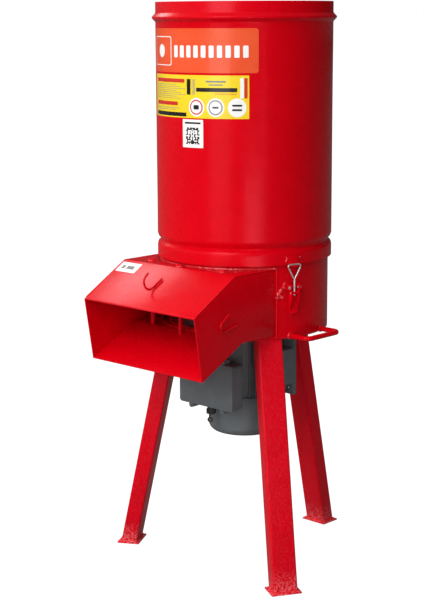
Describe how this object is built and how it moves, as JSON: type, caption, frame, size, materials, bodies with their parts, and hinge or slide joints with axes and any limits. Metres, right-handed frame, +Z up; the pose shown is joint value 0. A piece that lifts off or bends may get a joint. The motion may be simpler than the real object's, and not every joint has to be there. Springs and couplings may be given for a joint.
{
  "type": "hammer mill",
  "caption": "Upright-shaft hammer mill: drum hopper latched on a round screened chamber with swinging hammers, front outlet chute, splayed legs and a flange motor below.",
  "frame": {"origin": "on the floor, under the middle of the whole mill; the shaft stands 18 mm behind it", "axes": "+Z up along the rotor shaft, -Y out of the outlet chute, +X to the right of someone looking along +Y at the chute"},
  "size_m": [0.6, 0.686, 1.354],
  "materials": {
    "red_paint": "glossy red powder coat on mild steel",
    "zinc_plate": "bright zinc plate",
    "bare_steel": "machined mild steel",
    "hammer_steel": "hardened dark steel",
    "motor_paint": "satin grey paint on cast and pressed metal",
    "copper_wire": "varnished copper wire",
    "black_plastic": "moulded black plastic",
    "orange_sticker": "printed vinyl film",
    "yellow_sticker": "printed vinyl film",
    "white_sticker": "printed paper film"
  },
  "bodies": {
    "stand": {"base_plate": "red_paint", "leg_front_right": "red_paint", "leg_front_left": "red_paint", "leg_rear": "red_paint", "foot_plates": "red_paint", "chamber_shell": "red_paint", "chute_hood": "red_paint", "chute_side_right": "red_paint", "chute_side_left": "red_paint", "chute_floor": "red_paint", "guard_bars": "red_paint", "handle_right": "red_paint", "handle_left": "red_paint", "bag_hooks": "red_paint", "latch_brackets": "red_paint", "latch_rivets": "zinc_plate", "power_label": "white_sticker", "screen_sheet": "bare_steel", "screen_frame": "red_paint", "screen_ribs": "red_paint", "motor_frame": "motor_paint", "drive_end_shield": "motor_paint", "rear_end_shield": "motor_paint", "fan_cowl": "motor_paint", "cowl_screws": "zinc_plate", "motor_feet": "motor_paint", "stator_core": "bare_steel", "stator_winding": "copper_wire", "motor_bearings": "bare_steel", "terminal_box": "motor_paint", "terminal_lid": "motor_paint", "lid_screws": "zinc_plate", "cable_gland": "black_plastic", "flange_bolts": "zinc_plate", "flange_nuts": "zinc_plate"},
    "hopper": {"latch_keepers": "red_paint", "hopper_drum": "red_paint", "hopper_floor": "red_paint", "headline_label": "orange_sticker", "notice_label": "yellow_sticker", "code_label": "white_sticker"},
    "rotor": {"motor_shaft": "bare_steel", "shaft_key": "bare_steel", "rotor_core": "bare_steel", "motor_fan": "black_plastic", "rotor_hub": "bare_steel", "rotor_disc_lower": "bare_steel", "rotor_disc_upper": "bare_steel", "hammer_pins": "zinc_plate", "pin_spacers": "bare_steel", "rotor_bolt": "zinc_plate", "rotor_washer": "zinc_plate"},
    "swing_hammer_1": {"hammer_1": "hammer_steel"},
    "swing_hammer_2": {"hammer_2": "hammer_steel"},
    "swing_hammer_3": {"hammer_3": "hammer_steel"},
    "swing_hammer_4": {"hammer_4": "hammer_steel"},
    "right_lever": {"latch_lever_right": "red_paint"},
    "left_lever": {"latch_lever_left": "red_paint"},
    "right_loop": {"latch_loop_right": "zinc_plate"},
    "left_loop": {"latch_loop_left": "zinc_plate"}
  },
  "joints": [
    {"name": "rotor_spin", "type": "hinge", "parent": "stand", "child": "rotor", "pos_m": [0, 0.018, 0.626], "axis": [0, 0, 1], "continuous": true},
    {"name": "hammer_1_swing", "type": "hinge", "parent": "rotor", "child": "swing_hammer_1", "pos_m": [0.092, 0.018, 0.627], "axis": [0, 0, 1], "range_deg": [-90, 90]},
    {"name": "hammer_2_swing", "type": "hinge", "parent": "rotor", "child": "swing_hammer_2", "pos_m": [0, 0.11, 0.627], "axis": [0, 0, 1], "range_deg": [-90, 90]},
    {"name": "hammer_3_swing", "type": "hinge", "parent": "rotor", "child": "swing_hammer_3", "pos_m": [-0.092, 0.018, 0.627], "axis": [0, 0, 1], "range_deg": [-90, 90]},
    {"name": "hammer_4_swing", "type": "hinge", "parent": "rotor", "child": "swing_hammer_4", "pos_m": [0, -0.074, 0.627], "axis": [0, 0, 1], "range_deg": [-90, 90]},
    {"name": "right_lever_turn", "type": "hinge", "parent": "stand", "child": "right_lever", "pos_m": [0.20864, -0.0379, 0.703], "axis": [-0.2588, -0.9659, 0], "range_deg": [0, 110]},
    {"name": "right_loop_turn", "type": "hinge", "parent": "right_lever", "child": "right_loop", "pos_m": [0.207, -0.03746, 0.69], "axis": [-0.2588, -0.9659, 0], "range_deg": [-130, 0]},
    {"name": "left_lever_turn", "type": "hinge", "parent": "stand", "child": "left_lever", "pos_m": [-0.20864, -0.0379, 0.703], "axis": [-0.2588, 0.9659, 0], "range_deg": [0, 110]},
    {"name": "left_loop_turn", "type": "hinge", "parent": "left_lever", "child": "left_loop", "pos_m": [-0.207, -0.03746, 0.69], "axis": [-0.2588, 0.9659, 0], "range_deg": [-130, 0]},
    {"name": "hopper_lift", "type": "slide", "parent": "stand", "child": "hopper", "axis": [0, 0, 1], "range_m": [0, 0.25]}
  ],
  "couplings": [
    {"joint": "right_loop_turn", "follows": "right_lever_turn", "ratio": -1.18},
    {"joint": "left_loop_turn", "follows": "left_lever_turn", "ratio": -1.18}
  ]
}
